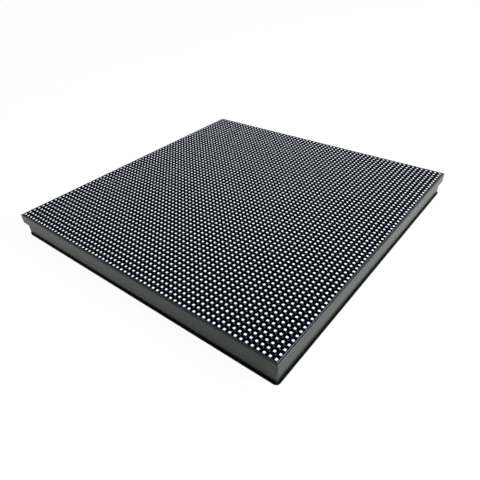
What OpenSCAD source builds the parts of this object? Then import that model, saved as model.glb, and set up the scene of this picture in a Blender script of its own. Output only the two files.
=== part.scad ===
// Square RGB lamp matrix panel, lying face up on its rear flange.
// Origin at the centre of the rear face, +Z out of the lit face, millimetres.

/* [Panel] */
// Side of the square panel, measured over the rim of the case
panel_w = 192; // [160:1:256]
// Height of the board's rear face above the surface that the panel lies on
board_z = 11.2; // [11:0.1:12]
// Thickness of the circuit board
board_t = 1.6; // [1.2:0.1:2]
// Thickness of the front mask, from the board to the lit face
mask_t = 2.2; // [2.2:0.05:2.5]

/* [Lamp grid] */
// Lamps along each side
led_count = 64; // [60:2:64]
// Distance of the outermost lamps' middle lines from the panel's edge
lamp_inset = 2.2875; // [2.1:0.0125:2.6]
// Side of one square lamp
lamp_w = 1.3; // [1.2:0.05:1.6]
// Height of a lamp above the board
lamp_h = 1.8; // [1.5:0.05:1.85]

/* [Front mask] */
// Width of the mask's ribs between the rows of lamps
rib_w = 0.7; // [0.5:0.1:0.8]
// Gap between the lamps' height and the cross slats above them
slat_gap = 0.05; // [0.03:0.01:0.1]
// Gap round the mask and round the outermost lamps
mask_gap = 0.1; // [0.05:0.05:0.2]
// Diameter of the stake pins that hold the mask to the board
stake_d = 1.1; // [0.9:0.1:1.1]
// Radial gap round a stake pin in the board
stake_gap = 0.1; // [0.05:0.05:0.2]
// Length of a stake pin past the board's rear face
stake_out = 0.3; // [0.2:0.1:0.6]
// Rib crossings from the middle to the inner stake pins
stake_inner_n = 9; // [6:1:12]
// Rib crossings from the middle to the outer stake pins
stake_outer_n = 27; // [24:1:29]

/* [Rear case] */
// Height of the rim's top edge below the lit face
rim_drop = 0.4; // [0.2:0.1:0.6]
// Height of the straight rim band
rim_h = 5.8; // [5:0.1:6.5]
// Small chamfer along the rim's top edge
rim_edge = 0.2; // [0.1:0.05:0.3]
// Height of the chamfer below the rim band
chamfer_h = 1.9; // [1.5:0.1:2.2]
// Depth of the recessed side wall behind the rim
wall_recess = 1.5; // [1.2:0.1:2]
// Thickness of the side wall
wall_t = 2; // [1.6:0.1:2.4]
// Thickness of the rim beside the mask
rim_t = 0.7; // [0.6:0.05:0.8]
// Gap between the board's edge and the rim
board_gap = 0.3; // [0.2:0.05:0.4]
// Thickness of the rear flange
flange_t = 1.1; // [0.9:0.1:1.6]
// Depth of the flange's edge behind the rim
flange_recess = 0.7; // [0.2:0.1:0.9]
// Corner radius of the flange
flange_r = 2.2; // [1.6:0.1:4]
// Thickness of the rear bands
band_t = 2; // [1.6:0.1:2.4]
// Width of the rear bands that cross the case
band_w = 9; // [8:0.5:10]
// Width of the rear band along the side walls
edge_band_w = 7; // [6:0.5:8]
// Distance of the crossing bands from the middle
band_pos = 32; // [31:0.5:33]
// Thickness of the upright rib on each band
web_t = 1.6; // [1.2:0.1:2]
// Height of the upright ribs below the ends of the bosses
web_drop = 0.4; // [0.3:0.1:1.2]
// Thickness of the gussets along the side walls
gusset_t = 1.2; // [1:0.1:1.6]
// Height of the low gussets
gusset_h = 4; // [3.5:0.1:4.1]
// Gussets along each side, between two neighbouring bosses
gusset_n = 2; // [1:1:3]

/* [Case screws] */
// Distance of the outer screws from the panel's edge
screw_inset = 8; // [7.5:0.25:8.5]
// Diameter of a screw boss
boss_d = 9; // [8.4:0.2:9.4]
// Diameter of the screw's shank
screw_d = 1.95; // [1.8:0.05:2]
// Diameter of the screw's head
head_d = 4.5; // [4.2:0.1:4.8]
// Height of the screw's head
head_h = 1.8; // [1.6:0.1:2]
// Width of the bevel round the head's outer face
head_bevel_w = 0.55; // [0.4:0.05:0.7]
// Height of that bevel
head_bevel_h = 0.8; // [0.6:0.1:1]
// Diameter of the recess in the head
drive_d = 1.6; // [1.4:0.1:1.8]
// Depth of the recess in the head
drive_depth = 0.9; // [0.7:0.1:1]
// Thickness of the boss under the head
seat_t = 3; // [2.5:0.25:3.5]
// Length of thread in the standoff
thread_l = 2.4; // [2:0.1:2.6]
// Radial gap round a shank in the boss
shank_gap = 0.4; // [0.3:0.05:0.5]
// Radial gap round a head in the counterbore
head_gap = 0.5; // [0.3:0.1:0.6]
// Diameter of a board standoff
standoff_d = 5; // [4.6:0.2:5.4]
// Height of a board standoff
standoff_h = 3; // [2.8:0.1:3.2]
// Bore of a board standoff
standoff_bore = 2.05; // [2.02:0.01:2.1]

/* [Mounting inserts] */
// Distance of the inserts from the middle, along the side
insert_pos = 60; // [58:0.5:62]
// Outer diameter of an insert
insert_d = 5; // [4.6:0.1:5.2]
// Length of an insert
insert_l = 6; // [5:0.25:6.5]
// Tapping bore of an insert, for an M3 thread
insert_bore = 2.5; // [2.5:0.05:2.6]
// Depth of an insert below the rear face
insert_sink = 0.1; // [0:0.05:0.2]
// Depth of the hole past an insert
insert_relief = 1; // [0.5:0.25:1.5]
// Width of an insert's collar
collar_w = 1.2; // [1:0.1:1.6]
// Depth of the groove round an insert's middle
insert_groove = 0.3; // [0.2:0.05:0.4]

/* [Signal headers] */
// Pin pairs of a signal header
header_pairs = 8; // [6:1:8]
// Distance between neighbouring header pins
header_pitch = 2.54; // [2.5:0.01:2.56]
// Width of a header shroud
header_w = 8.9; // [8.6:0.1:9.2]
// Height of a header shroud
header_h = 9; // [8.6:0.1:9.4]
// Length of a shroud past the row of pins, both ends together
header_over = 7.6; // [7:0.1:8]
// Wall of a shroud
shroud_t = 1.1; // [0.9:0.1:1.2]
// Floor of a shroud
shroud_floor = 2.5; // [2:0.1:3]
// Width of the key slot in a shroud
key_w = 4.5; // [4:0.1:5]
// Side of a square header pin
pin_w = 0.64; // [0.6:0.01:0.66]
// Gap round a pin in the shroud's floor
pin_gap = 0.03; // [0.02:0.01:0.05]
// Depth of the pins' tips below the shroud's mouth
pin_sink = 1; // [0.6:0.1:1.5]
// Distance of the headers' middle from the panel's edge
header_inset = 22; // [21:0.5:24]

/* [Power socket] */
// Pins of the power socket
power_pins = 4; // [2:1:4]
// Distance between neighbouring power pins
power_pitch = 3.96; // [3.9:0.02:4]
// Length of the socket past its row of pins, both ends together
power_over = 3.9; // [3.5:0.1:4.5]
// Width of the socket
power_w = 8.5; // [8:0.1:9]
// Thickness of the socket's base
power_base = 3; // [2.6:0.1:3.4]
// Height of the socket's latch wall
power_h = 10.2; // [9.6:0.1:10.6]
// Thickness of the latch wall
latch_t = 1.2; // [1:0.1:1.4]
// Size of the latch ridge
latch_ridge = 0.8; // [0.6:0.1:1]
// Side of a square power pin
power_pin_w = 1.14; // [1:0.02:1.2]
// Height of the power pins
power_pin_h = 9.2; // [8.6:0.1:9.4]

/* [Board parts] */
// Column driver chips in one row
driver_n = 12; // [10:1:12]
// Distance of the outermost driver chips' middle from the panel's edge
driver_inset = 19; // [18:0.5:20]
// Distance of the driver rows from the middle
driver_pos = 60; // [56:0.5:62]
// Size of a driver chip
driver_size = [8.65, 3.9, 1.5];
// Size of a row switching chip
row_chip_size = [9.9, 3.9, 1.5];
// Place of the row switching chips from the middle
row_chip_pos = [9, 20];
// Size of a buffer chip
buffer_size = [4.4, 6.5, 1.1];
// Place of the buffer chips from the middle of the input header
buffer_pos = [16, 8];
// Size of a resistor network
network_size = [1.6, 3.2, 0.6];
// Place of the first resistor network from the middle of the input header
network_pos = [8.5, 3];
// Distance between neighbouring resistor networks
network_step = 6; // [5:0.5:7]
// Size of a ceramic capacitor
ceramic_size = [1.6, 0.8, 0.8];
// Size of a chip resistor
resistor_size = [1.6, 0.8, 0.45];
// Distance of these small parts from their driver chip's middle
small_part_pos = 5; // [4:0.25:6]
// Diameter of a storage capacitor's can
can_d = 6.3; // [6:0.1:6.6]
// Height of the can above its base
can_h = 5.1; // [4.5:0.1:6]
// Rounding of the can's end
can_r = 0.5; // [0.3:0.1:0.8]
// Side of a storage capacitor's base
can_base_w = 6.6; // [6.4:0.1:7]
// Thickness of the base
can_base_t = 0.7; // [0.5:0.1:1]
// Chamfer on two corners of the base
can_base_cut = 1.2; // [0.8:0.1:1.5]
// Place of the storage capacitors from the middle
can_pos = [19, 9];

/* [Hidden] */
$fn = 48;
// Overlap of cutting shapes past the faces that they cut
cut = 1;
half_w = panel_w / 2;
board_top = board_z + board_t;
face_z = board_top + mask_t;
// Distance between neighbouring lamps
led_pitch = 2 * (half_w - lamp_inset) / (led_count - 1);
// Outer edge of the lamp field and inner edges of what surrounds it
field_half = (led_count - 1) * led_pitch / 2 + lamp_w / 2;
rim_in = half_w - rim_t;
mask_half = rim_in - mask_gap;
ring_in = field_half + mask_gap;
board_half = rim_in - board_gap;
// The slats leave each lamp's own width open between them
slat_w = led_pitch - lamp_w;
slat_z = board_top + lamp_h + slat_gap;
// Levels and widths of the case's side
rim_top = face_z - rim_drop;
rim_bottom = rim_top - rim_h;
wall_top = rim_bottom - chamfer_h;
wall_half = half_w - wall_recess;
wall_in = wall_half - wall_t;
flange_half = half_w - flange_recess;
edge_band_in = wall_in - edge_band_w;
// Screw axes and levels
screw_edge = half_w - screw_inset;
SCREW_LINES = [-screw_edge, -band_pos, band_pos, screw_edge];
boss_top = board_z - standoff_h;
head_seat = boss_top - seat_t;
// Insert places, in two rows along the sides at the low and high Y edges
insert_edge = screw_edge;
insert_boss_h = insert_sink + insert_l + insert_relief + band_t / 2;
header_pos = half_w - header_inset;
header_l = (header_pairs - 1) * header_pitch + header_over;
power_l = (power_pins - 1) * power_pitch + power_over;
power_pin_y = (power_w - latch_t) / 2 - power_w / 2;
// Crest and end of the latch ridge, from the socket's mouth
ridge_crest = 1.5 * latch_ridge;
ridge_end = 2 * latch_ridge;
driver_pitch = 2 * (half_w - driver_inset) / (driver_n - 1);
STAKE_LINES = [for (n = [-stake_outer_n, -stake_inner_n, stake_inner_n, stake_outer_n]) n * led_pitch];

// Place of rib or slat k, counted from 1, between lamps k and k + 1
function rib_pos(k) = (k - led_count / 2) * led_pitch;
// Place of lamp row k, counted from 1
function row_pos(k) = (k - (led_count + 1) / 2) * led_pitch;
// Place of driver chip k, counted from 1
function driver_x(k) = (k - (driver_n + 1) / 2) * driver_pitch;

// Puts its children on every screw axis
module at_screws() {
    for (x = SCREW_LINES, y = SCREW_LINES)
        translate([x, y, 0])
            children();
}

// Puts its children on every mounting insert's axis
module at_inserts() {
    for (x = [-insert_pos, insert_pos], y = [-insert_edge, insert_edge])
        translate([x, y, 0])
            children();
}

// A block hung below the board's rear face at x, y
module on_board(x, y, size) {
    translate([x - size[0] / 2, y - size[1] / 2, board_z - size[2]])
        cube(size);
}

// A square slab of half width h between two levels
module slab(h, z0, z1) {
    translate([-h, -h, z0])
        cube([2 * h, 2 * h, z1 - z0]);
}

// Outline of a square with round corners
module round_square(h, r) {
    square([2 * h, 2 * (h - r)], center = true);
    square([2 * (h - r), 2 * h], center = true);
    for (x = [r - h, h - r], y = [r - h, h - r])
        translate([x, y])
            circle(r);
}

// Front mask: a thin border, ribs between the rows and slats across them
module front_mask() {
    rib_l = 2 * (ring_in + mask_gap);
    color([0.06, 0.06, 0.07]) {
        difference() {
            slab(mask_half, board_top, face_z);
            slab(ring_in, board_top - cut, face_z + cut);
        }
        for (k = [1 : led_count - 1]) {
            translate([-rib_l / 2, rib_pos(k) - rib_w / 2, board_top])
                cube([rib_l, rib_w, lamp_h]);
            translate([rib_pos(k) - slat_w / 2, -rib_l / 2, slat_z])
                cube([slat_w, rib_l, face_z - slat_z]);
        }
        for (x = STAKE_LINES, y = STAKE_LINES)
            translate([x, y, board_z - stake_out])
                cylinder(h = stake_out + board_t + lamp_h / 2, d = stake_d);
    }
}

// Lamps: each row of square white lamps is one low bar on the board
module lamp_rows() {
    color([0.95, 0.96, 1])
        for (k = [1 : led_count])
            translate([-field_half, row_pos(k) - lamp_w / 2, board_top])
                cube([2 * field_half, lamp_w, lamp_h]);
}

// Circuit board with the holes for the mask's stake pins
module circuit_board() {
    color([0.05, 0.09, 0.07])
        difference() {
            slab(board_half, board_z, board_top);
            for (x = STAKE_LINES, y = STAKE_LINES)
                translate([x, y, board_z - cut])
                    cylinder(h = board_t + 2 * cut, d = stake_d + 2 * stake_gap);
        }
}

// Side profile of the case: rim band, chamfer and recessed wall
module side_profile() {
    polygon([
        [-wall_half, 0], [wall_half, 0], [wall_half, wall_top],
        [half_w, rim_bottom], [half_w, rim_top - rim_edge],
        [half_w - rim_edge, rim_top], [rim_edge - half_w, rim_top],
        [-half_w, rim_top - rim_edge], [-half_w, rim_bottom], [-wall_half, wall_top]
    ]);
}

// Solid outer form of the case: the side profile on all four sides
module case_block() {
    intersection() {
        rotate([90, 0, 0])
            linear_extrude(2 * half_w + cut, center = true)
                side_profile();
        rotate([90, 0, 90])
            linear_extrude(2 * half_w + cut, center = true)
                side_profile();
    }
    linear_extrude(flange_t)
        round_square(flange_half, flange_r);
}

// Frame of the case: side walls, the seat of the board and the edge band
module case_frame() {
    difference() {
        case_block();
        slab(rim_in, board_z, rim_top + cut);
        slab(wall_in, band_t, board_z + cut);
        slab(edge_band_in, -cut, band_t + cut);
    }
}

// One crossing band along X with its upright rib
module cross_band() {
    band_l = 2 * wall_in + wall_t;
    translate([-band_l / 2, -band_w / 2, 0])
        cube([band_l, band_w, band_t]);
    translate([-band_l / 2, -web_t / 2, 0])
        cube([band_l, web_t, boss_top - web_drop]);
}

// Gussets between the side wall at low Y and its edge band
module wall_gussets() {
    spans = [[-screw_edge, -band_pos], [-band_pos, band_pos], [band_pos, screw_edge]];
    for (s = spans, k = [1 : gusset_n])
        translate([s[0] + (s[1] - s[0]) * k / (gusset_n + 1), -wall_in, 0])
            rotate([90, 0, -90])
                linear_extrude(gusset_t, center = true)
                    polygon([
                        [wall_t / 2, band_t / 2], [wall_t / 2, gusset_h], [0, gusset_h],
                        [-edge_band_w, band_t], [-edge_band_w, band_t / 2]
                    ]);
}

// Bores of one screw boss: counterbore for the head and hole for the shank
module screw_bores() {
    translate([0, 0, -cut])
        cylinder(h = head_seat + cut, d = head_d + 2 * head_gap);
    cylinder(h = boss_top + cut, d = screw_d + 2 * shank_gap);
}

// Rear case: frame, crossing bands, gussets, screw bosses and insert bosses
module rear_case() {
    color([0.17, 0.18, 0.18])
        difference() {
            union() {
                case_frame();
                for (p = [-band_pos, band_pos]) {
                    translate([0, p, 0])
                        cross_band();
                    translate([p, 0, 0])
                        rotate([0, 0, 90])
                            cross_band();
                }
                for (a = [0 : 90 : 270])
                    rotate([0, 0, a])
                        wall_gussets();
                at_screws()
                    cylinder(h = boss_top, d = boss_d);
                at_inserts()
                    cylinder(h = insert_boss_h, d = boss_d);
            }
            at_screws()
                screw_bores();
            at_inserts()
                translate([0, 0, -cut])
                    cylinder(h = insert_sink + insert_l + insert_relief + cut, d = insert_d);
        }
}

// Pan-head screws with a round-bottomed drive recess, driven in from the rear
module case_screws() {
    color([0.75, 0.75, 0.77])
        at_screws()
            translate([0, 0, head_seat - head_h])
                difference() {
                    union() {
                        rotate_extrude()
                            polygon([
                                [0, 0], [head_d / 2 - head_bevel_w, 0], [head_d / 2, head_bevel_h],
                                [head_d / 2, head_h], [0, head_h]
                            ]);
                        cylinder(h = head_h + seat_t + thread_l, d = screw_d);
                    }
                    translate([0, 0, -cut])
                        cylinder(h = drive_depth + cut, d = drive_d, $fn = 6);
                }
}

// Brass standoffs soldered to the board's rear face
module board_standoffs() {
    color([0.8, 0.66, 0.35])
        at_screws()
            translate([0, 0, boss_top])
                difference() {
                    cylinder(h = standoff_h, d = standoff_d);
                    translate([0, 0, -cut])
                        cylinder(h = thread_l + 2 * cut, d = standoff_bore);
                }
}

// Brass threaded inserts for the screws that hold the panel
module mounting_inserts() {
    color([0.8, 0.66, 0.35])
        at_inserts()
            translate([0, 0, insert_sink])
                rotate_extrude()
                    polygon([
                        [insert_bore / 2, 0], [insert_d / 2, 0],
                        [insert_d / 2, collar_w],
                        [insert_d / 2 - insert_groove, collar_w + insert_groove],
                        [insert_d / 2 - insert_groove, insert_l - collar_w - insert_groove],
                        [insert_d / 2, insert_l - collar_w],
                        [insert_d / 2, insert_l], [insert_bore / 2, insert_l]
                    ]);
}

// Puts its children on each pin axis of a signal header
module at_header_pins() {
    for (x = [-header_pitch / 2, header_pitch / 2], k = [1 : header_pairs])
        translate([x, (k - (header_pairs + 1) / 2) * header_pitch, 0])
            children();
}

// Shroud of a signal header, open to the rear, with its key slot towards +X
module header_shroud() {
    inner_l = header_l - 2 * shroud_t;
    inner_w = header_w - 2 * shroud_t;
    hole_w = pin_w + 2 * pin_gap;
    color([0.1, 0.1, 0.1])
        translate([0, 0, board_z - header_h])
            difference() {
                translate([-header_w / 2, -header_l / 2, 0])
                    cube([header_w, header_l, header_h]);
                translate([-inner_w / 2, -inner_l / 2, -cut])
                    cube([inner_w, inner_l, header_h - shroud_floor + cut]);
                translate([0, -key_w / 2, -cut])
                    cube([header_w, key_w, header_h - shroud_floor + cut]);
                at_header_pins()
                    translate([-hole_w / 2, -hole_w / 2, 0])
                        cube([hole_w, hole_w, header_h + cut]);
            }
}

// The square pins of a signal header
module header_pins() {
    pin_l = header_h - pin_sink;
    color([0.85, 0.75, 0.4])
        at_header_pins()
            translate([-pin_w / 2, -pin_w / 2, board_z - pin_l])
                cube([pin_w, pin_w, pin_l]);
}

module input_header_shroud() {
    translate([-header_pos, 0, 0])
        header_shroud();
}

module input_header_pins() {
    translate([-header_pos, 0, 0])
        header_pins();
}

module output_header_shroud() {
    translate([header_pos, 0, 0])
        rotate([0, 0, 180])
            header_shroud();
}

module output_header_pins() {
    translate([header_pos, 0, 0])
        header_pins();
}

// Puts its children on each pin axis of the power socket
module at_power_pins() {
    for (k = [1 : power_pins])
        translate([(k - (power_pins + 1) / 2) * power_pitch, power_pin_y, 0])
            children();
}

// Open power socket: a base and a latch wall with its ridge
module power_socket_housing() {
    hole_w = power_pin_w + 2 * pin_gap;
    color([0.93, 0.92, 0.88])
        difference() {
            union() {
                on_board(0, 0, [power_l, power_w, power_base]);
                on_board(0, (power_w - latch_t) / 2, [power_l, latch_t, power_h]);
                translate([-power_l / 2, power_w / 2 - latch_t, board_z - power_h])
                    rotate([90, 0, 90])
                        linear_extrude(power_l)
                            polygon([
                                [0, 0], [-latch_ridge, ridge_crest], [0, ridge_end],
                                [latch_t / 2, ridge_end], [latch_t / 2, 0]
                            ]);
            }
            at_power_pins()
                translate([-hole_w / 2, -hole_w / 2, board_z - power_base - cut])
                    cube([hole_w, hole_w, power_base + 2 * cut]);
        }
}

module power_socket_pins() {
    color([0.8, 0.8, 0.82])
        at_power_pins()
            translate([-power_pin_w / 2, -power_pin_w / 2, board_z - power_pin_h])
                cube([power_pin_w, power_pin_w, power_pin_h]);
}

// Column driver chips in two rows
module driver_chips() {
    color([0.09, 0.09, 0.1])
        for (k = [1 : driver_n], y = [-driver_pos, driver_pos])
            on_board(driver_x(k), y, driver_size);
}

// Row switching chips round the power socket
module row_switch_chips() {
    color([0.09, 0.09, 0.1])
        for (x = [-1, 1], y = [-1, 1])
            on_board(x * row_chip_pos[0], y * row_chip_pos[1], row_chip_size);
}

// Buffer chips beside the input header
module buffer_chips() {
    color([0.09, 0.09, 0.1])
        for (y = [-1, 1])
            on_board(buffer_pos[0] - header_pos, y * buffer_pos[1], buffer_size);
}

// Resistor networks between the input header and its buffers
module resistor_networks() {
    color([0.12, 0.12, 0.13])
        for (side = [-1, 1], k = [0, 1])
            on_board(
                network_pos[0] - header_pos,
                side * (network_pos[1] + k * network_step), network_size
            );
}

// One ceramic capacitor beside each driver chip, towards the middle
module ceramic_capacitors() {
    color([0.72, 0.6, 0.45])
        for (k = [1 : driver_n], side = [-1, 1])
            on_board(driver_x(k), side * (driver_pos - small_part_pos), ceramic_size);
}

// One chip resistor beside each driver chip, towards the edge
module chip_resistors() {
    color([0.12, 0.12, 0.13])
        for (k = [1 : driver_n], side = [-1, 1])
            on_board(driver_x(k), side * (driver_pos + small_part_pos), resistor_size);
}

// Puts its children on each storage capacitor's axis
module at_cans() {
    for (x = [-can_pos[0], can_pos[0]], y = [-can_pos[1], can_pos[1]])
        translate([x, y, 0])
            children();
}

module storage_capacitor_cans() {
    z1 = board_z - can_base_t;
    color([0.8, 0.81, 0.83])
        at_cans()
            rotate_extrude()
                polygon([
                    [0, z1], [can_d / 2, z1], [can_d / 2, z1 - can_h + can_r],
                    [can_d / 2 - can_r, z1 - can_h], [0, z1 - can_h]
                ]);
}

module storage_capacitor_bases() {
    b = can_base_w / 2;
    color([0.08, 0.08, 0.08])
        at_cans()
            translate([0, 0, board_z - can_base_t])
                linear_extrude(can_base_t)
                    polygon([
                        [-b, -b], [b - can_base_cut, -b], [b, can_base_cut - b],
                        [b, b - can_base_cut], [b - can_base_cut, b], [-b, b]
                    ]);
}

front_mask();
lamp_rows();
circuit_board();
rear_case();
case_screws();
board_standoffs();
mounting_inserts();
input_header_shroud();
input_header_pins();
output_header_shroud();
output_header_pins();
power_socket_housing();
power_socket_pins();
driver_chips();
row_switch_chips();
buffer_chips();
resistor_networks();
ceramic_capacitors();
chip_resistors();
storage_capacitor_cans();
storage_capacitor_bases();
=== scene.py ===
import math

import bmesh
import bpy
from mathutils import Matrix, Vector


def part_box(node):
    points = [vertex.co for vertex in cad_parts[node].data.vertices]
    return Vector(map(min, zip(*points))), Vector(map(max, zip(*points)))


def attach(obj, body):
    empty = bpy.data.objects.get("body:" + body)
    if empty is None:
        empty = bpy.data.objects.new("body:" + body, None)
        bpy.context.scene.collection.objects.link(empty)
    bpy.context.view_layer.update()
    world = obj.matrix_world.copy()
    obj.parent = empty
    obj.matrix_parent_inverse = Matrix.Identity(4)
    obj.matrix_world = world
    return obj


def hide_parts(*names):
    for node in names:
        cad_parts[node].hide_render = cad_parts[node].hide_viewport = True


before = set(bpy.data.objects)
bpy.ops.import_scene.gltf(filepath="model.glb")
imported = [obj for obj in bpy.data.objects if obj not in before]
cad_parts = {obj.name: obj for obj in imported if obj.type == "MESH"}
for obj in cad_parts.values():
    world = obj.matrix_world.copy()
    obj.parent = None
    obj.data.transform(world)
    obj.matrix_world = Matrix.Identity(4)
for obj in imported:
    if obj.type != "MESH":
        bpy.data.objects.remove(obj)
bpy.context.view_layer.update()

# All lengths are in metres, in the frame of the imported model
MM = 0.001

# Lamp grid
LAMPS = 64
LAMP_W = 1.3 * MM
LAMP_TOP_W = 1.2 * MM
LAMP_CORNER = 0.07 * MM
LAMP_RIM = 0.14 * MM
LENS_CORNER = 0.12 * MM
LENS_SINK = 0.04 * MM

# Mask windows: the ribs between them have this width on both axes
RIB_W = 0.7 * MM
RIB_CHAMFER = 0.12 * MM
RIB_BEVEL_DEPTH = 0.15 * MM
MASK_EDGE = 0.14 * MM

# Posts at the rib crossings: they stand a little above the ribs
POST_R = 0.52 * MM
POST_TOP_R = 0.3 * MM
POST_SLOPE_H = 0.16 * MM
POST_RISE = 0.04 * MM
POST_H = 1.0 * MM

# Stake pins that hold the mask to the board, counted in rib crossings from the middle
PIN_R = 0.55 * MM
PIN_SIDES = 12
PIN_STEPS = (-27, -9, 9, 27)
PIN_ROOT = 0.5 * MM

# Chips: body length along the leads and width across them, leads on a side, pitch and width
DRIVER = {"body": (8.65 * MM, 3.9 * MM), "leads": 12, "pitch": 0.635 * MM, "lead_w": 0.25 * MM}
ROW_CHIP = {"body": (9.9 * MM, 3.9 * MM), "leads": 8, "pitch": 1.27 * MM, "lead_w": 0.4 * MM}
BUFFER = {"body": (6.5 * MM, 4.4 * MM), "leads": 10, "pitch": 0.65 * MM, "lead_w": 0.25 * MM}
DRIVERS = 12
LEAD_T = 0.18 * MM
LEAD_ROOT = 0.1 * MM
LEAD_SHOULDER = 0.3 * MM
LEAD_HEEL = 0.55 * MM
LEAD_TOE = 1.05 * MM
PAD_T = 0.04 * MM
PAD_MARGIN = 0.2 * MM
DOT_R = 0.35 * MM
DOT_SIDES = 16
DOT_INSET = 0.9 * MM

# Small parts on the board
TERMINAL_L = 0.3 * MM
TERMINAL_SKIN = 0.015 * MM
NETWORK_STEP = 6.0 * MM
NETWORKS_ON_A_SIDE = 2
NETWORK_TERMINALS = 4
NETWORK_PITCH = 0.8 * MM
CAN_RADIUS = 3.15 * MM
CAN_MARK_R = 2.5 * MM
CAN_MARK_STEPS = 12

# Printed lines and tracks on the board's rear face
LINE_W = 0.16 * MM
LINE_T = 0.02 * MM
PRINT_GAP = 0.5 * MM
ARROW_REACH = 6.0 * MM
ARROW_HALF_W = 2.5 * MM
ARROW_SHAFT_HALF_W = ARROW_HALF_W / 3
ARROW_Y = 42.0 * MM
TRACK_W = 0.3 * MM
TRACK_STEP = 0.75 * MM
TRACKS = 8
TRACK_REACH = 70.0 * MM
TRACK_GAP = 3.5 * MM

# Camera, from the fit of the photo's edges and corners
CAMERA_PLACE = Vector((156.95, -185.53, 152.6)) * MM
CAMERA_TARGET = Vector((32.48, -39.9, 15.0)) * MM
CAMERA_ROLL = math.radians(-3.32)
CAMERA_LENS = 32.73
CAMERA_SENSOR = 36.0
CAMERA_NEAREST = 0.01
CAMERA_FARTHEST = 10.0

# Floor: it is open under the case, up to this far inside the case's edge
FLOOR_REACH = 6.0
FLOOR_OPENING_INSET = 3.0 * MM
# Share of plain white in the floor that the camera sees, so that its shadow stays faint
FLOOR_WHITE_SHARE = 0.95
# Share of plain white in the floor that glossy surfaces mirror
FLOOR_GLOSSY_SHARE = 0.65

# Lights: place, size of the square and power in watts; the sky lights everything evenly
SKY_STRENGTH = 0.42
SKY_COLOUR = (0.97, 0.98, 1.0, 1.0)
TOP_LAMP = {"place": (0.1, 0.1, 1.2), "size": 1.2, "power": 3.0}
BACK_RIGHT_LAMP = {"place": (1.1, 0.45, 0.75), "size": 0.8, "power": 36.0}

# Zone of the rear flange that gets painted shade, black and with little gloss, for the contact
# shadow at the case's foot: below its top, and outside the recessed side wall
FLANGE_SHADE_H = 1.13 * MM
FLANGE_SHADE_INSET = 1.45 * MM

# Refractive index of plastics and resins, and of the case's glossier plastic
PLASTIC_IOR = 1.45
CASE_IOR = 1.5

ROOT = "root"
scene = bpy.context.scene
collection = scene.collection

lamp_lo, lamp_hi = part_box("lamp_rows")
mask_lo, mask_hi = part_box("front_mask")
board_lo, board_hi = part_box("circuit_board")
case_lo, case_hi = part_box("rear_case")

# Distance between the middles of two lamps
PITCH = (lamp_hi.x - lamp_lo.x - LAMP_W) / (LAMPS - 1)


def lamp_line(k):
    """Place of lamp k, counted from 0, along X or Y."""
    return (k - (LAMPS - 1) / 2) * PITCH


def new_piece(name, verts, faces, materials, replaced=(), face_materials=None):
    """A mesh object that rides on the root body."""
    mesh = bpy.data.meshes.new(name)
    mesh.from_pydata(verts, [], faces)
    for material in materials:
        mesh.materials.append(material)
    if face_materials:
        mesh.polygons.foreach_set("material_index", face_materials)
    mesh.update()
    piece = bpy.data.objects.new(name, mesh)
    collection.objects.link(piece)
    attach(piece, ROOT)
    if replaced:
        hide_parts(*replaced)
    return piece


# Materials


def node_material(name):
    """An empty node material with its output and Principled shader."""
    material = bpy.data.materials.new(name)
    material.use_nodes = True
    nodes = material.node_tree.nodes
    return material, nodes, material.node_tree.links, nodes["Principled BSDF"]


def noise(nodes, links, scale, detail=3.0, stretch=(1.0, 1.0, 1.0)):
    """Noise over the object's own coordinates; its Fac output is returned."""
    place = nodes.new("ShaderNodeTexCoord")
    mapping = nodes.new("ShaderNodeMapping")
    mapping.inputs["Scale"].default_value = stretch
    texture = nodes.new("ShaderNodeTexNoise")
    texture.inputs["Scale"].default_value = scale
    texture.inputs["Detail"].default_value = detail
    links.new(place.outputs["Object"], mapping.inputs["Vector"])
    links.new(mapping.outputs["Vector"], texture.inputs["Vector"])
    return texture.outputs["Fac"]


def ramp(nodes, links, value, low, high, start=0.35, end=0.65):
    """Colour ramp from low to high between two values."""
    node = nodes.new("ShaderNodeValToRGB")
    first, last = node.color_ramp.elements
    first.position = start
    last.position = end
    first.color = (*low, 1.0)
    last.color = (*high, 1.0)
    links.new(value, node.inputs["Fac"])
    return node.outputs["Color"]


def spread(nodes, links, value, low, high):
    """Value from 0 to 1 mapped to low and high."""
    node = nodes.new("ShaderNodeMapRange")
    node.inputs["To Min"].default_value = low
    node.inputs["To Max"].default_value = high
    links.new(value, node.inputs["Value"])
    return node.outputs["Result"]


def bump(nodes, links, shader, height, distance):
    """Bump of the given depth in metres."""
    node = nodes.new("ShaderNodeBump")
    node.inputs["Strength"].default_value = 1.0
    node.inputs["Distance"].default_value = distance
    links.new(height, node.inputs["Height"])
    links.new(node.outputs["Normal"], shader.inputs["Normal"])


def plain_finish(
    name, low, high, rough=(0.4, 0.55), metallic=0.0, scale=900.0,
    grain=3000.0, depth=0.02 * MM, specular=0.5, stretch=(1.0, 1.0, 1.0),
):
    """Moulded plastic, resin or metal: mottled colour, uneven gloss and a fine bump."""
    material, nodes, links, shader = node_material(name)
    mottle = noise(nodes, links, scale, 4.0, stretch)
    grains = noise(nodes, links, grain, 2.0, stretch)
    links.new(ramp(nodes, links, mottle, low, high), shader.inputs["Base Color"])
    links.new(spread(nodes, links, mottle, *rough), shader.inputs["Roughness"])
    shader.inputs["Metallic"].default_value = metallic
    shader.inputs["IOR"].default_value = PLASTIC_IOR
    shader.inputs["Specular IOR Level"].default_value = specular
    bump(nodes, links, shader, grains, depth)
    return material


def math_node(nodes, links, operation, *values):
    """One Math node; each value is a socket or a number."""
    node = nodes.new("ShaderNodeMath")
    node.operation = operation
    for place, value in enumerate(values):
        if isinstance(value, float):
            node.inputs[place].default_value = value
        else:
            links.new(value, node.inputs[place])
    return node.outputs[0]


def shader_mix(nodes, links, factor, first, second):
    """Mix of two shaders by a socket."""
    node = nodes.new("ShaderNodeMixShader")
    links.new(factor, node.inputs["Fac"])
    links.new(first, node.inputs[1])
    links.new(second, node.inputs[2])
    return node.outputs[0]


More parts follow.
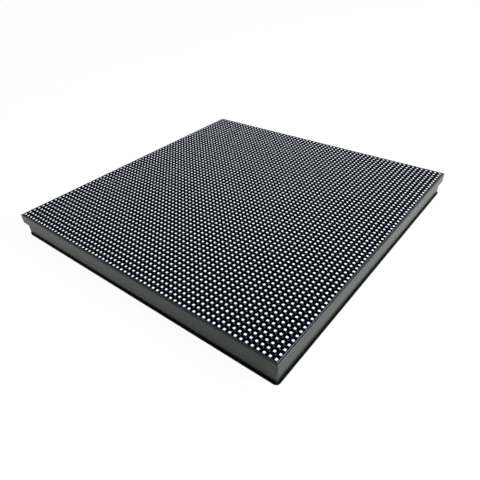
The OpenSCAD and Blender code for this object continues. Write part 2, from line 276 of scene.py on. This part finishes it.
def mixed(nodes, links, factor, first, second, blend="MIX"):
    """Colour mix; each colour is a socket or three numbers."""
    node = nodes.new("ShaderNodeMix")
    node.data_type = "RGBA"
    node.blend_type = blend
    if isinstance(factor, float):
        node.inputs["Factor"].default_value = factor
    else:
        links.new(factor, node.inputs["Factor"])
    for name, value in (("A", first), ("B", second)):
        if isinstance(value, tuple):
            node.inputs[name].default_value = (*value, 1.0)
        else:
            links.new(value, node.inputs[name])
    return node.outputs["Result"]


def case_finish():
    """Dark grey moulded plastic, bluer near the rim, with painted shade on the flange: black
    and with little gloss.
    """
    material, nodes, links, shader = node_material("case_plastic_finish")
    place = nodes.new("ShaderNodeTexCoord")
    split = nodes.new("ShaderNodeSeparateXYZ")
    links.new(place.outputs["Object"], split.inputs["Vector"])
    level = nodes.new("ShaderNodeMapRange")
    level.inputs["From Min"].default_value = case_lo.z
    level.inputs["From Max"].default_value = case_hi.z
    links.new(split.outputs["Z"], level.inputs["Value"])
    by_height = ramp(
        nodes, links, level.outputs["Result"],
        (0.0130, 0.0185, 0.0130), (0.0130, 0.0165, 0.0180), 0.4, 1.0,
    )
    mottle = noise(nodes, links, 320.0, 4.0)
    shade = ramp(nodes, links, mottle, (0.72, 0.72, 0.72), (1.0, 1.0, 1.0))
    body = mixed(nodes, links, 0.5, by_height, shade, "MULTIPLY")
    reach_x = math_node(nodes, links, "ABSOLUTE", split.outputs["X"])
    reach_y = math_node(nodes, links, "ABSOLUTE", split.outputs["Y"])
    reach = math_node(nodes, links, "MAXIMUM", reach_x, reach_y)
    outside = math_node(nodes, links, "GREATER_THAN", reach, case_hi.x - FLANGE_SHADE_INSET)
    low = math_node(nodes, links, "LESS_THAN", split.outputs["Z"], case_lo.z + FLANGE_SHADE_H)
    # Painted shade: the flange zone of the same plastic is made black, with little gloss, for
    # the contact shadow at the case's foot
    flange = math_node(nodes, links, "MULTIPLY", outside, low)
    colour = mixed(nodes, links, flange, body, (0.0016, 0.0016, 0.0016))
    links.new(colour, shader.inputs["Base Color"])
    links.new(spread(nodes, links, mottle, 0.24, 0.34), shader.inputs["Roughness"])
    gloss = spread(nodes, links, flange, 0.2, 0.02)
    links.new(gloss, shader.inputs["Specular IOR Level"])
    shader.inputs["IOR"].default_value = CASE_IOR
    bump(nodes, links, shader, noise(nodes, links, 4200.0, 2.0), 0.012 * MM)
    return material


def mask_finish():
    """Matt black mask plastic."""
    return plain_finish(
        "mask_plastic_finish", (0.0008, 0.0011, 0.0036), (0.0015, 0.0021, 0.0060),
        rough=(0.5, 0.62), specular=0.0, scale=1200.0, grain=5000.0, depth=0.015 * MM,
    )


def post_highlight_finish():
    """Mask plastic on the posts, smoother and painted lighter grey as a highlight at the rib
    crossings.
    """
    return plain_finish(
        "mask_post_highlight_finish", (0.03, 0.033, 0.037), (0.045, 0.048, 0.053),
        rough=(0.34, 0.44), specular=0.1, scale=1200.0, grain=5000.0, depth=0.01 * MM,
    )


def edge_highlight_finish():
    """Mask plastic on the outer edge and outer window lips, smoother and painted lighter as a
    highlight.
    """
    return plain_finish(
        "mask_edge_highlight_finish", (0.03, 0.033, 0.040), (0.055, 0.06, 0.07),
        rough=(0.28, 0.38), specular=0.3, scale=1200.0, grain=5000.0, depth=0.01 * MM,
    )


def lamp_finish():
    """Pale grey lamp housing, darker than the white lens that it frames."""
    return plain_finish(
        "lamp_body_finish", (0.28, 0.30, 0.33), (0.34, 0.36, 0.39),
        rough=(0.35, 0.45), specular=0.2, scale=2400.0, grain=6000.0, depth=0.006 * MM,
    )


def lens_finish():
    """Smooth white resin in a lamp's dish, slightly blue."""
    return plain_finish(
        "lamp_resin_finish", (0.84, 0.88, 0.95), (0.90, 0.93, 0.98),
        rough=(0.16, 0.24), specular=0.15, scale=3200.0, grain=6000.0, depth=0.003 * MM,
    )


def board_finish():
    """Green-black solder mask with a faint pattern of tracks."""
    material, nodes, links, shader = node_material("board_laminate_finish")
    place = nodes.new("ShaderNodeTexCoord")
    tracks = nodes.new("ShaderNodeTexBrick")
    tracks.inputs["Scale"].default_value = 160.0
    tracks.inputs["Mortar Size"].default_value = 0.012
    tracks.inputs["Color1"].default_value = (0.004, 0.011, 0.008, 1.0)
    tracks.inputs["Color2"].default_value = (0.005, 0.014, 0.010, 1.0)
    tracks.inputs["Mortar"].default_value = (0.009, 0.026, 0.017, 1.0)
    links.new(place.outputs["Object"], tracks.inputs["Vector"])
    links.new(tracks.outputs["Color"], shader.inputs["Base Color"])
    shader.inputs["Roughness"].default_value = 0.35
    bump(nodes, links, shader, tracks.outputs["Fac"], 0.03 * MM)
    return material


FINISHES = {
    "mask_plastic": mask_finish(),
    "lamp_body": lamp_finish(),
    "board_laminate": board_finish(),
    "case_plastic": case_finish(),
    "screw_steel": plain_finish(
        "screw_steel_finish", (0.42, 0.42, 0.43), (0.56, 0.56, 0.57),
        rough=(0.24, 0.36), metallic=1.0,
    ),
    "turned_brass": plain_finish(
        "turned_brass_finish", (0.56, 0.40, 0.16), (0.70, 0.52, 0.24),
        rough=(0.22, 0.34), metallic=1.0, stretch=(1.0, 1.0, 8.0),
    ),
    "header_plastic": plain_finish(
        "header_plastic_finish", (0.008, 0.008, 0.009), (0.013, 0.013, 0.014),
    ),
    "pin_gold": plain_finish(
        "pin_gold_finish", (0.72, 0.52, 0.18), (0.82, 0.62, 0.26),
        rough=(0.18, 0.28), metallic=1.0,
    ),
    "socket_nylon": plain_finish(
        "socket_nylon_finish", (0.66, 0.64, 0.58), (0.76, 0.74, 0.69),
        rough=(0.38, 0.5),
    ),
    "pin_tin": plain_finish(
        "pin_tin_finish", (0.56, 0.57, 0.59), (0.68, 0.69, 0.71),
        rough=(0.22, 0.34), metallic=1.0,
    ),
    "chip_resin": plain_finish(
        "chip_resin_finish", (0.007, 0.007, 0.008), (0.012, 0.012, 0.013),
        rough=(0.45, 0.6), grain=5000.0,
    ),
    "resistor_body": plain_finish(
        "resistor_body_finish", (0.010, 0.010, 0.012), (0.016, 0.016, 0.018),
        rough=(0.2, 0.3),
    ),
    "capacitor_ceramic": plain_finish(
        "capacitor_ceramic_finish", (0.36, 0.25, 0.15), (0.44, 0.32, 0.20),
        rough=(0.35, 0.5),
    ),
    "can_aluminium": plain_finish(
        "can_aluminium_finish", (0.62, 0.63, 0.65), (0.74, 0.75, 0.77),
        rough=(0.2, 0.3), metallic=1.0,
    ),
}

NODE_SLOTS = {
    "front_mask": "mask_plastic",
    "lamp_rows": "lamp_body",
    "circuit_board": "board_laminate",
    "rear_case": "case_plastic",
    "case_screws": "screw_steel",
    "board_standoffs": "turned_brass",
    "mounting_inserts": "turned_brass",
    "input_header_shroud": "header_plastic",
    "output_header_shroud": "header_plastic",
    "input_header_pins": "pin_gold",
    "output_header_pins": "pin_gold",
    "power_socket_housing": "socket_nylon",
    "power_socket_pins": "pin_tin",
    "driver_chips": "chip_resin",
    "row_switch_chips": "chip_resin",
    "buffer_chips": "chip_resin",
    "resistor_networks": "resistor_body",
    "chip_resistors": "resistor_body",
    "ceramic_capacitors": "capacitor_ceramic",
    "storage_capacitor_cans": "can_aluminium",
    "storage_capacitor_bases": "header_plastic",
}


def dress_nodes():
    """Every CAD node gets its finish."""
    for name, slot in NODE_SLOTS.items():
        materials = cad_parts[name].data.materials
        materials.clear()
        materials.append(FINISHES[slot])


# Mesh helpers


def add_stack(verts, faces, rings):
    """A closed solid through rings of points, from the lowest ring to the last."""
    start = len(verts)
    count = len(rings[0])
    for points in rings:
        verts.extend(points)
    for level in range(len(rings) - 1):
        for k in range(count):
            n = (k + 1) % count
            a = start + level * count
            faces.append((a + k, a + n, a + count + n, a + count + k))
    faces.append(tuple(start + k for k in reversed(range(count))))
    top = start + (len(rings) - 1) * count
    faces.append(tuple(top + k for k in range(count)))


def ring(x, y, radius, z, sides=8):
    """Points of a regular polygon, counter-clockwise, flat sides along X and Y."""
    turn = math.pi / sides
    return [
        (
            x + radius * math.cos(turn + 2 * math.pi * k / sides),
            y + radius * math.sin(turn + 2 * math.pi * k / sides), z,
        )
        for k in range(sides)
    ]


def cut_square(x, y, half, cut, z):
    """Corners of a square with cut corners, counter-clockwise."""
    return [
        (x - half + cut, y - half, z), (x + half - cut, y - half, z),
        (x + half, y - half + cut, z), (x + half, y + half - cut, z),
        (x + half - cut, y + half, z), (x - half + cut, y + half, z),
        (x - half, y + half - cut, z), (x - half, y - half + cut, z),
    ]


def add_box(verts, faces, lo, hi):
    """A box between two corners."""
    add_stack(verts, faces, [
        [(lo[0], lo[1], z), (hi[0], lo[1], z), (hi[0], hi[1], z), (lo[0], hi[1], z)]
        for z in (lo[2], hi[2])
    ])


# Mask: one closed grid with a window over every lamp


def mask_grid():
    """Vertices and faces of the mask; the outer edge and outer window lips are marked for a
    painted highlight.
    """
    half_pitch = PITCH / 2
    open_half = half_pitch - RIB_W / 2
    lip_half = open_half + RIB_CHAMFER
    top = mask_hi.z - POST_RISE
    lip = top - RIB_BEVEL_DEPTH
    base = board_hi.z
    last = LAMPS - 1
    verts = []
    faces = []
    marks = []

    def add(points):
        start = len(verts)
        verts.extend(points)
        return list(range(start, len(verts)))

    def square(x, y, half, z):
        return [
            (x - half, y - half, z), (x + half, y - half, z),
            (x + half, y + half, z), (x - half, y + half, z),
        ]

    def face(*corners, mark=0):
        faces.append(corners)
        marks.append(mark)

    upper = {}
    lower = {}
    for i in range(LAMPS):
        for j in range(LAMPS):
            x = lamp_line(i)
            y = lamp_line(j)
            a = add(square(x, y, lip_half, top))
            b = add(square(x, y, open_half, lip))
            c = add(square(x, y, open_half, base))
            at_edge = (j == 0, i == last, j == last, i == 0)
            for k in range(4):
                n = (k + 1) % 4
                face(a[k], a[n], b[n], b[k], mark=int(at_edge[k]))
                face(b[k], b[n], c[n], c[k])
            upper[i, j] = a
            lower[i, j] = c
    for i in range(LAMPS):
        for j in range(LAMPS):
            t = upper[i, j]
            u = lower[i, j]
            if i < last:
                t2 = upper[i + 1, j]
                u2 = lower[i + 1, j]
                face(t[1], t2[0], t2[3], t[2])
                face(u2[0], u[1], u[2], u2[3])
            if j < last:
                t3 = upper[i, j + 1]
                u3 = lower[i, j + 1]
                face(t[3], t[2], t3[1], t3[0])
                face(u[2], u[3], u3[0], u3[1])
            if i < last and j < last:
                face(t[2], t2[3], upper[i + 1, j + 1][0], t3[1])
                face(u[2], u3[1], lower[i + 1, j + 1][0], u2[3])

    # Border: from the outer windows to the mask's edge, with a chamfer along the edge
    edge = mask_hi.x
    near = edge - MASK_EDGE
    sides = (
        ([(i, 0) for i in range(LAMPS)], (0, 1), (None, -edge), (edge, -edge)),
        ([(last, j) for j in range(LAMPS)], (1, 2), (edge, None), (edge, edge)),
        ([(i, last) for i in reversed(range(LAMPS))], (2, 3), (None, edge), (-edge, edge)),
        ([(0, j) for j in reversed(range(LAMPS))], (3, 0), (-edge, None), (-edge, -edge)),
    )
    around = []
    for cells, corners, line, tip in sides:
        for cell in cells:
            for corner in corners:
                inner = verts[upper[cell][corner]]
                drop = tuple(inner[k] if line[k] is None else line[k] for k in range(2))
                around.append((upper[cell][corner], lower[cell][corner], drop))
        around.append((*around[-1][:2], tip))
    rims = []
    for inner_top, inner_base, (x, y) in around:
        inset = (max(-near, min(near, x)), max(-near, min(near, y)))
        rims.append((
            inner_top, inner_base,
            *add([(*inset, top), (x, y, top - MASK_EDGE), (x, y, base)]),
        ))
    for k, (inner_top, inner_base, rim, low, foot) in enumerate(rims):
        inner_top2, inner_base2, rim2, low2, foot2 = rims[(k + 1) % len(rims)]
        face(low, low2, rim2, rim, mark=1)
        face(foot, foot2, low2, low)
        if inner_top == inner_top2:
            face(rim, rim2, inner_top)
            face(foot2, foot, inner_base)
        else:
            face(rim, rim2, inner_top2, inner_top)
            face(foot2, foot, inner_base, inner_base2)
    return verts, faces, marks


def build_mask():
    """The mask that shows, with its stake pins."""
    verts, faces, marks = mask_grid()
    for p in PIN_STEPS:
        for q in PIN_STEPS:
            add_stack(verts, faces, [
                ring(p * PITCH, q * PITCH, PIN_R, z, PIN_SIDES)
                for z in (mask_lo.z, board_hi.z + PIN_ROOT)
            ])
    marks.extend([0] * (len(faces) - len(marks)))
    # The marked faces get the lighter edge finish, a painted highlight
    new_piece(
        "louvre_mask", verts, faces,
        (FINISHES["mask_plastic"], edge_highlight_finish()), ("front_mask",), marks,
    )


def build_posts():
    """A small tapered post at every crossing of the ribs."""
    verts = []
    faces = []
    top = mask_hi.z
    for i in range(1, LAMPS):
        for j in range(1, LAMPS):
            x = lamp_line(i) - PITCH / 2
            y = lamp_line(j) - PITCH / 2
            add_stack(verts, faces, [
                ring(x, y, POST_R, top - POST_H),
                ring(x, y, POST_R, top - POST_SLOPE_H),
                ring(x, y, POST_TOP_R, top),
            ])
    # The posts carry the painted highlight of the rib crossings
    new_piece("mask_posts", verts, faces, (post_highlight_finish(),))


# Lamps


def build_lamps():
    """Pale lamp housings, each with a shallow dish of white resin."""
    verts = []
    faces = []
    marks = []
    half = LAMP_TOP_W / 2
    base = board_hi.z
    top = lamp_hi.z
    for i in range(LAMPS):
        for j in range(LAMPS):
            x = lamp_line(i)
            y = lamp_line(j)
            add_stack(verts, faces, [
                cut_square(x, y, LAMP_W / 2, LAMP_CORNER, base),
                cut_square(x, y, half, LAMP_CORNER, top),
                cut_square(x, y, half - LAMP_RIM, LENS_CORNER, top - LENS_SINK),
            ])
            marks.extend([0] * (len(faces) - len(marks)))
            marks[-1] = 1
    new_piece(
        "lamp_housings", verts, faces,
        (FINISHES["lamp_body"], lens_finish()), ("lamp_rows",), marks,
    )


# Board parts


def chip_places():
    """Centre, height, kind and turn of every chip, from the boxes of its node."""
    places = []
    lo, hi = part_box("driver_chips")
    length, width = DRIVER["body"]
    step = (hi.x - lo.x - length) / (DRIVERS - 1)
    for k in range(DRIVERS):
        for y in (lo.y + width / 2, hi.y - width / 2):
            places.append((lo.x + length / 2 + k * step, y, hi.z - lo.z, DRIVER, False))
    lo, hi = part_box("row_switch_chips")
    length, width = ROW_CHIP["body"]
    for x in (lo.x + length / 2, hi.x - length / 2):
        for y in (lo.y + width / 2, hi.y - width / 2):
            places.append((x, y, hi.z - lo.z, ROW_CHIP, False))
    lo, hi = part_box("buffer_chips")
    for y in (lo.y + BUFFER["body"][0] / 2, hi.y - BUFFER["body"][0] / 2):
        places.append(((lo.x + hi.x) / 2, y, hi.z - lo.z, BUFFER, True))
    return places


def lead_profile(reach, middle):
    """Outline of a gull-wing lead: distance from the chip's middle and from the board."""
    half_t = LEAD_T / 2
    return [
        (reach - LEAD_ROOT, middle + half_t), (reach + LEAD_SHOULDER, middle + half_t),
        (reach + LEAD_HEEL, LEAD_T), (reach + LEAD_TOE, LEAD_T), (reach + LEAD_TOE, 0.0),
        (reach + LEAD_HEEL - half_t, 0.0), (reach + LEAD_SHOULDER - half_t, middle - half_t),
        (reach - LEAD_ROOT, middle - half_t),
    ]


def solid_piece(name, verts, faces, slot):
    """A piece of closed solids whose faces are turned outwards."""
    piece = new_piece(name, verts, faces, (FINISHES[slot],))
    shape = bmesh.new()
    shape.from_mesh(piece.data)
    bmesh.ops.recalc_face_normals(shape, faces=shape.faces)
    shape.to_mesh(piece.data)
    shape.free()


def build_leads():
    """Bent leads on both long sides of every chip, their pads and the chips' dots."""
    lead_verts, lead_faces = [], []
    pad_verts, pad_faces = [], []
    dot_verts, dot_faces = [], []
    board = board_lo.z
    for x, y, height, kind, turned in chip_places():
        length, width = kind["body"]

        def point(along, across, depth):
            if turned:
                return (x + across, y + along, board - depth)
            return (x + along, y + across, board - depth)

        profile = lead_profile(width / 2, height / 2)
        for side in (-1, 1):
            for k in range(kind["leads"]):
                middle = (k - (kind["leads"] - 1) / 2) * kind["pitch"]
                ends = (middle - kind["lead_w"] / 2, middle + kind["lead_w"] / 2)
                add_stack(lead_verts, lead_faces, [
                    [point(end, side * u, v) for u, v in profile] for end in ends
                ])
                inner = width / 2 + LEAD_HEEL - PAD_MARGIN
                outer = width / 2 + LEAD_TOE + PAD_MARGIN
                corners = (
                    point(ends[0], side * inner, PAD_T), point(ends[1], side * outer, 0.0)
                )
                lo = [min(c[n] for c in corners) for n in range(3)]
                hi = [max(c[n] for c in corners) for n in range(3)]
                add_box(pad_verts, pad_faces, lo, hi)
        dot = point(DOT_INSET - length / 2, DOT_INSET - width / 2, height)
        add_stack(dot_verts, dot_faces, [
            ring(dot[0], dot[1], DOT_R, z, DOT_SIDES) for z in (dot[2] - LINE_T, dot[2])
        ])
    solid_piece("chip_leads", lead_verts, lead_faces, "pin_tin")
    solid_piece("chip_pads", pad_verts, pad_faces, "pin_tin")
    solid_piece("chip_dots", dot_verts, dot_faces, "socket_nylon")


def build_terminals():
    """Tinned ends of the chip resistors, ceramic capacitors and resistor networks."""
    verts = []
    faces = []

    def cap(x, y, half_x, half_y, height):
        add_box(
            verts, faces,
            (x - half_x, y - half_y, board_lo.z - height - TERMINAL_SKIN),
            (x + half_x, y + half_y, board_lo.z),
        )

    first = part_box("driver_chips")[0].x + DRIVER["body"][0] / 2
    for name in ("ceramic_capacitors", "chip_resistors"):
        lo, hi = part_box(name)
        half_l = first - lo.x
        half_w = half_l / 2 + TERMINAL_SKIN
        step = (hi.x - lo.x - 2 * half_l) / (DRIVERS - 1)
        for k in range(DRIVERS):
            for y in (lo.y + half_l / 2, hi.y - half_l / 2):
                for side in (-1, 1):
                    x = first + k * step + side * (half_l - TERMINAL_L / 2 + TERMINAL_SKIN)
                    cap(x, y, TERMINAL_L / 2, half_w, hi.z - lo.z)
    lo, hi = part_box("resistor_networks")
    width = hi.x - lo.x
    for row in (-1, 1):
        for k in range(NETWORKS_ON_A_SIDE):
            middle = row * (hi.y - width - k * NETWORK_STEP)
            for n in range(NETWORK_TERMINALS):
                y = middle + (n - (NETWORK_TERMINALS - 1) / 2) * NETWORK_PITCH
                for x in (lo.x, hi.x):
                    cap(x, y, TERMINAL_L / 2, NETWORK_PITCH / 4, hi.z - lo.z)
    solid_piece("part_terminals", verts, faces, "pin_tin")


def build_can_marks():
    """Dark half discs on the ends of the storage capacitors, at their minus side."""
    verts = []
    faces = []
    lo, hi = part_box("storage_capacitor_cans")
    for x in (lo.x + CAN_RADIUS, hi.x - CAN_RADIUS):
        for y in (lo.y + CAN_RADIUS, hi.y - CAN_RADIUS):
            half_disc = [
                (
                    x + CAN_MARK_R * math.cos(math.pi * (0.5 + k / CAN_MARK_STEPS)) - LINE_W,
                    y + CAN_MARK_R * math.sin(math.pi * (0.5 + k / CAN_MARK_STEPS)),
                )
                for k in range(CAN_MARK_STEPS + 1)
            ]
            add_stack(verts, faces, [
                [(*point, z) for point in half_disc] for z in (lo.z - LINE_T, lo.z)
            ])
    solid_piece("can_marks", verts, faces, "header_plastic")


def build_prints():
    """Printed outlines round the chips and sockets, and two plain arrows."""
    verts = []
    faces = []
    z0 = board_lo.z - LINE_T
    z1 = board_lo.z

    def outline(lo_x, lo_y, hi_x, hi_y):
        """A closed frame: outer and inner rectangle at z0, then both at z1."""
        start = len(verts)
        for z in (z0, z1):
            for inset in (0.0, LINE_W):
                x0, y0 = lo_x + inset, lo_y + inset
                x1, y1 = hi_x - inset, hi_y - inset
                verts.extend([(x0, y0, z), (x1, y0, z), (x1, y1, z), (x0, y1, z)])
        for k in range(4):
            n = (k + 1) % 4
            for a, b in ((0, 8), (8, 12), (12, 4), (4, 0)):
                faces.append((start + a + k, start + a + n, start + b + n, start + b + k))

    for name in ("input_header_shroud", "output_header_shroud", "power_socket_housing"):
        lo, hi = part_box(name)
        outline(lo.x - PRINT_GAP, lo.y - PRINT_GAP, hi.x + PRINT_GAP, hi.y + PRINT_GAP)
    for x, y, height, kind, turned in chip_places():
        half = [side / 2 + PRINT_GAP for side in kind["body"]]
        half[1] += LEAD_TOE
        if turned:
            half.reverse()
        outline(x - half[0], y - half[1], x + half[0], y + half[1])
    # A plain arrow from the input header towards the output header
    for y in (-ARROW_Y, ARROW_Y):
        add_stack(verts, faces, [
            [
                (-ARROW_REACH, y - ARROW_SHAFT_HALF_W, z), (0.0, y - ARROW_SHAFT_HALF_W, z),
                (0.0, y - ARROW_HALF_W, z), (ARROW_REACH, y, z), (0.0, y + ARROW_HALF_W, z),
                (0.0, y + ARROW_SHAFT_HALF_W, z), (-ARROW_REACH, y + ARROW_SHAFT_HALF_W, z),
            ]
            for z in (z0, z1)
        ])
    solid_piece("board_prints", verts, faces, "socket_nylon")


def build_tracks():
    """Copper tracks under the solder mask, along the driver rows."""
    verts = []
    faces = []
    small_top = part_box("ceramic_capacitors")[1].y
    for row in (-1, 1):
        for k in range(TRACKS):
            y = row * (small_top - TRACK_GAP - k * TRACK_STEP)
            add_box(
                verts, faces,
                (-TRACK_REACH, y - TRACK_W / 2, board_lo.z - LINE_T),
                (TRACK_REACH, y + TRACK_W / 2, board_lo.z),
            )
    finish = plain_finish(
        "board_track_finish", (0.008, 0.026, 0.017), (0.011, 0.034, 0.022),
        rough=(0.3, 0.4),
    )
    new_piece("board_tracks", verts, faces, (finish,))


# Studio


def build_camera():
    """Camera at the photo's viewing angle."""
    data = bpy.data.cameras.new("photo_camera")
    data.lens = CAMERA_LENS
    data.sensor_width = CAMERA_SENSOR
    data.clip_start = CAMERA_NEAREST
    data.clip_end = CAMERA_FARTHEST
    camera = bpy.data.objects.new("photo_camera", data)
    collection.objects.link(camera)
    forward = (CAMERA_TARGET - CAMERA_PLACE).normalized()
    level = forward.cross(Vector((0.0, 0.0, 1.0))).normalized()
    upward = level.cross(forward)
    right = level * math.cos(CAMERA_ROLL) + upward * math.sin(CAMERA_ROLL)
    up = right.cross(forward)
    turn = Matrix((right, up, -forward)).transposed().to_4x4()
    camera.matrix_world = Matrix.Translation(CAMERA_PLACE) @ turn
    scene.camera = camera


def build_world():
    """Soft even light; camera, glossy and transmission rays see plain white instead."""
    world = bpy.data.worlds.new("studio_world")
    scene.world = world
    world.use_nodes = True
    nodes = world.node_tree.nodes
    links = world.node_tree.links
    light = nodes["Background"]
    light.inputs["Color"].default_value = SKY_COLOUR
    light.inputs["Strength"].default_value = SKY_STRENGTH
    white = nodes.new("ShaderNodeBackground")
    white.inputs["Color"].default_value = (1.0, 1.0, 1.0, 1.0)
    white.inputs["Strength"].default_value = 1.0
    path = nodes.new("ShaderNodeLightPath")
    seen = path.outputs["Is Camera Ray"]
    for ray in ("Is Glossy Ray", "Is Transmission Ray"):
        seen = math_node(nodes, links, "MAXIMUM", seen, path.outputs[ray])
    sky = shader_mix(nodes, links, seen, light.outputs[0], white.outputs[0])
    links.new(sky, nodes["World Output"].inputs["Surface"])


def build_floor():
    """Plain pale floor, clear from below and open under the case, so that the rear is lit."""
    mesh = bpy.data.meshes.new("studio_floor")
    corners = ((-1, -1), (1, -1), (1, 1), (-1, 1))
    reaches = (case_hi.x - FLOOR_OPENING_INSET, FLOOR_REACH)
    mesh.from_pydata(
        [(x * reach, y * reach, case_lo.z) for reach in reaches for x, y in corners],
        [], [(k, k + 4, (k + 1) % 4 + 4, (k + 1) % 4) for k in range(4)],
    )
    floor = bpy.data.objects.new("studio_floor", mesh)
    collection.objects.link(floor)
    material, nodes, links, shader = node_material("studio_floor_finish")
    shader.inputs["Base Color"].default_value = (0.9, 0.9, 0.9, 1.0)
    shader.inputs["Roughness"].default_value = 0.9
    shader.inputs["Specular IOR Level"].default_value = 0.0
    path = nodes.new("ShaderNodeLightPath")
    camera_ray = path.outputs["Is Camera Ray"]
    seen = math_node(nodes, links, "MULTIPLY", camera_ray, FLOOR_WHITE_SHARE)
    white_share = math_node(
        nodes, links, "MULTIPLY_ADD", path.outputs["Is Glossy Ray"], FLOOR_GLOSSY_SHARE, seen
    )
    white = nodes.new("ShaderNodeEmission")
    pale = shader_mix(nodes, links, white_share, shader.outputs[0], white.outputs[0])
    geometry = nodes.new("ShaderNodeNewGeometry")
    from_below = math_node(
        nodes, links, "MULTIPLY", geometry.outputs["Backfacing"], camera_ray
    )
    clear = nodes.new("ShaderNodeBsdfTransparent")
    surface = shader_mix(nodes, links, from_below, pale, clear.outputs[0])
    links.new(surface, nodes["Material Output"].inputs["Surface"])
    mesh.materials.append(material)


def area_light(name, place, size, power):
    """A soft square lamp that looks at the middle of the floor."""
    data = bpy.data.lights.new(name, "AREA")
    data.shape = "SQUARE"
    data.size = size
    data.energy = power
    lamp = bpy.data.objects.new(name, data)
    collection.objects.link(lamp)
    stand = Vector(place)
    turn = (-stand).to_track_quat("-Z", "Y").to_matrix().to_4x4()
    lamp.matrix_world = Matrix.Translation(stand) @ turn


def build_lights():
    """A weak soft lamp above, and a stronger one behind on the right."""
    area_light("top_lamp", **TOP_LAMP)
    area_light("back_right_lamp", **BACK_RIGHT_LAMP)


dress_nodes()
build_mask()
build_posts()
build_lamps()
build_leads()
build_terminals()
build_can_marks()
build_prints()
build_tracks()
build_camera()
build_world()
build_floor()
build_lights()

scene.view_settings.view_transform = "Standard"
